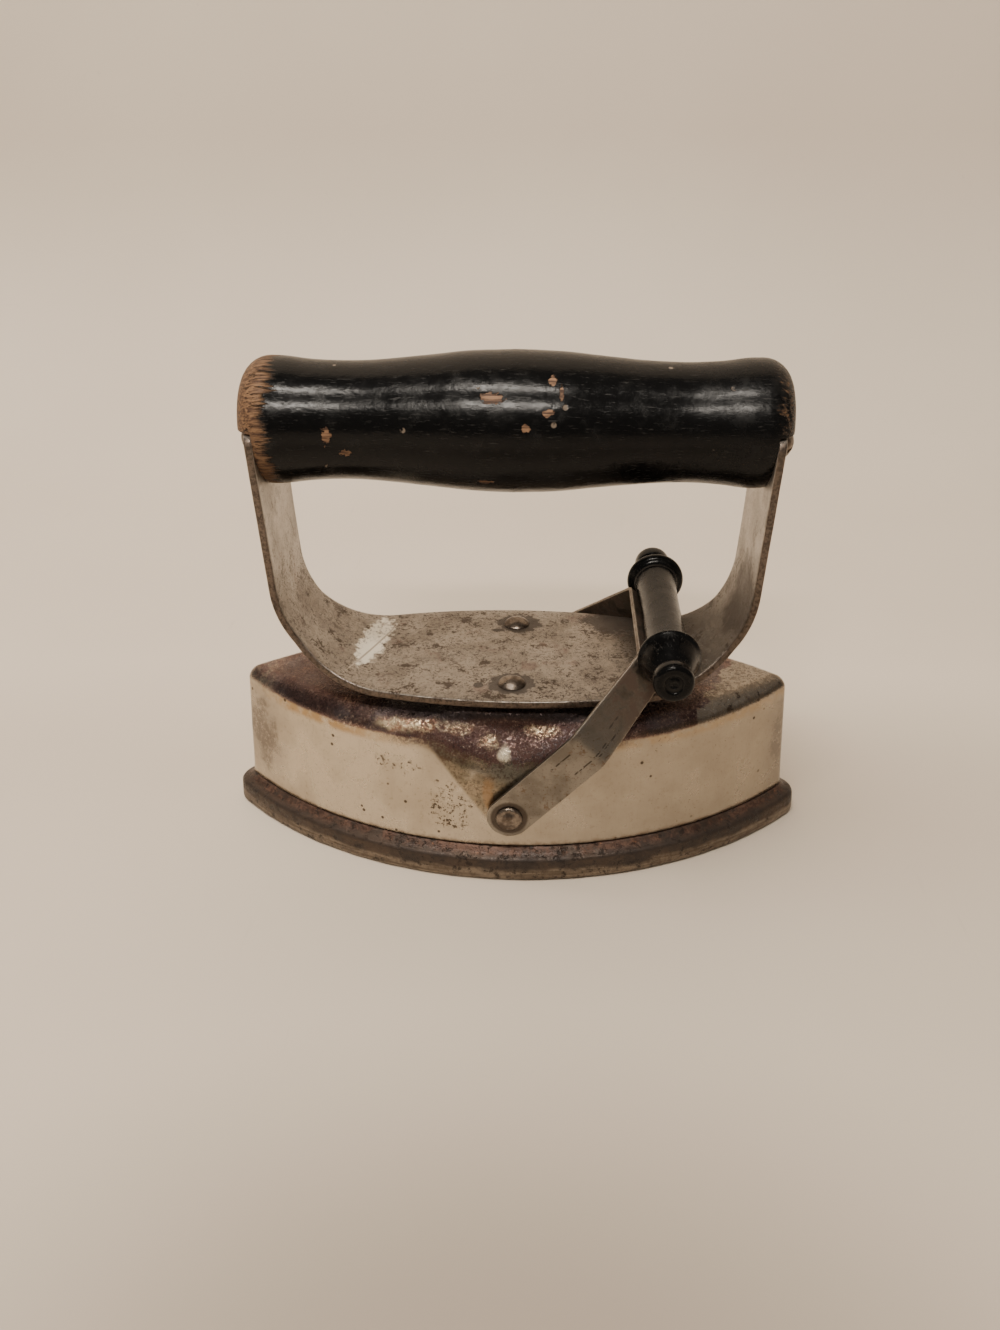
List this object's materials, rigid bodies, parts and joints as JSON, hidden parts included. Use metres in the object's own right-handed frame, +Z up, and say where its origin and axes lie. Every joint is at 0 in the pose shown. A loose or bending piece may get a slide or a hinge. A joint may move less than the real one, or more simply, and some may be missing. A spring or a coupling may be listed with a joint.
{
  "type": "clothes iron",
  "caption": "Stove-heated clothes iron: two-pointed cast core under a lift-off sheet hood with a strap handle, wooden grip and a swinging bail latch with a spool.",
  "frame": {"origin": "centre of the flat sole, which stands on the table", "axes": "+X along the iron towards the point on the side where the spool lies, +Y across it, +Z up through the grip"},
  "size_m": [0.152, 0.0704, 0.1228],
  "materials": {
    "cast_iron": "brown rusted casting, worn bright along the sole",
    "hood_plate": "worn nickel plate, satin, tarnished brown",
    "strap_steel": "tarnished bare steel with dark pits",
    "bail_steel": "worn bright steel strip",
    "rivet_steel": "dark tarnished steel",
    "grip_wood": "gloss black enamel on wood, chipped",
    "spool_wood": "gloss black enamel on wood",
    "insulation": "pressed grey-white board",
    "tinplate": "dull tinplate"
  },
  "bodies": {
    "core": {"iron_core": "cast_iron"},
    "hood": {"hood_shell": "hood_plate", "side_liner": "insulation", "top_liner": "insulation", "liner_plate": "tinplate", "handle_strap": "strap_steel", "strap_rivet_front": "rivet_steel", "strap_rivet_back": "rivet_steel", "strap_spacer_front": "rivet_steel", "strap_spacer_back": "rivet_steel", "rivet_washer_front": "rivet_steel", "rivet_washer_back": "rivet_steel", "grip": "grip_wood", "grip_screw_left": "rivet_steel", "grip_screw_right": "rivet_steel"},
    "bail": {"bail_strap": "bail_steel", "spool": "spool_wood", "spool_screw_front": "rivet_steel", "spool_screw_back": "rivet_steel", "pivot_pin_front": "rivet_steel", "pivot_pin_back": "rivet_steel", "latch_key_front": "rivet_steel", "latch_key_back": "rivet_steel"}
  },
  "joints": [
    {"name": "hood_lift", "type": "slide", "parent": "core", "child": "hood", "axis": [0, 0, 1], "range_m": [0, 0.04]},
    {"name": "bail_swing", "type": "hinge", "parent": "hood", "child": "bail", "pos_m": [0, 0, 0.0182], "axis": [0, 1, 0], "range_deg": [-87.4, 0]}
  ]
}
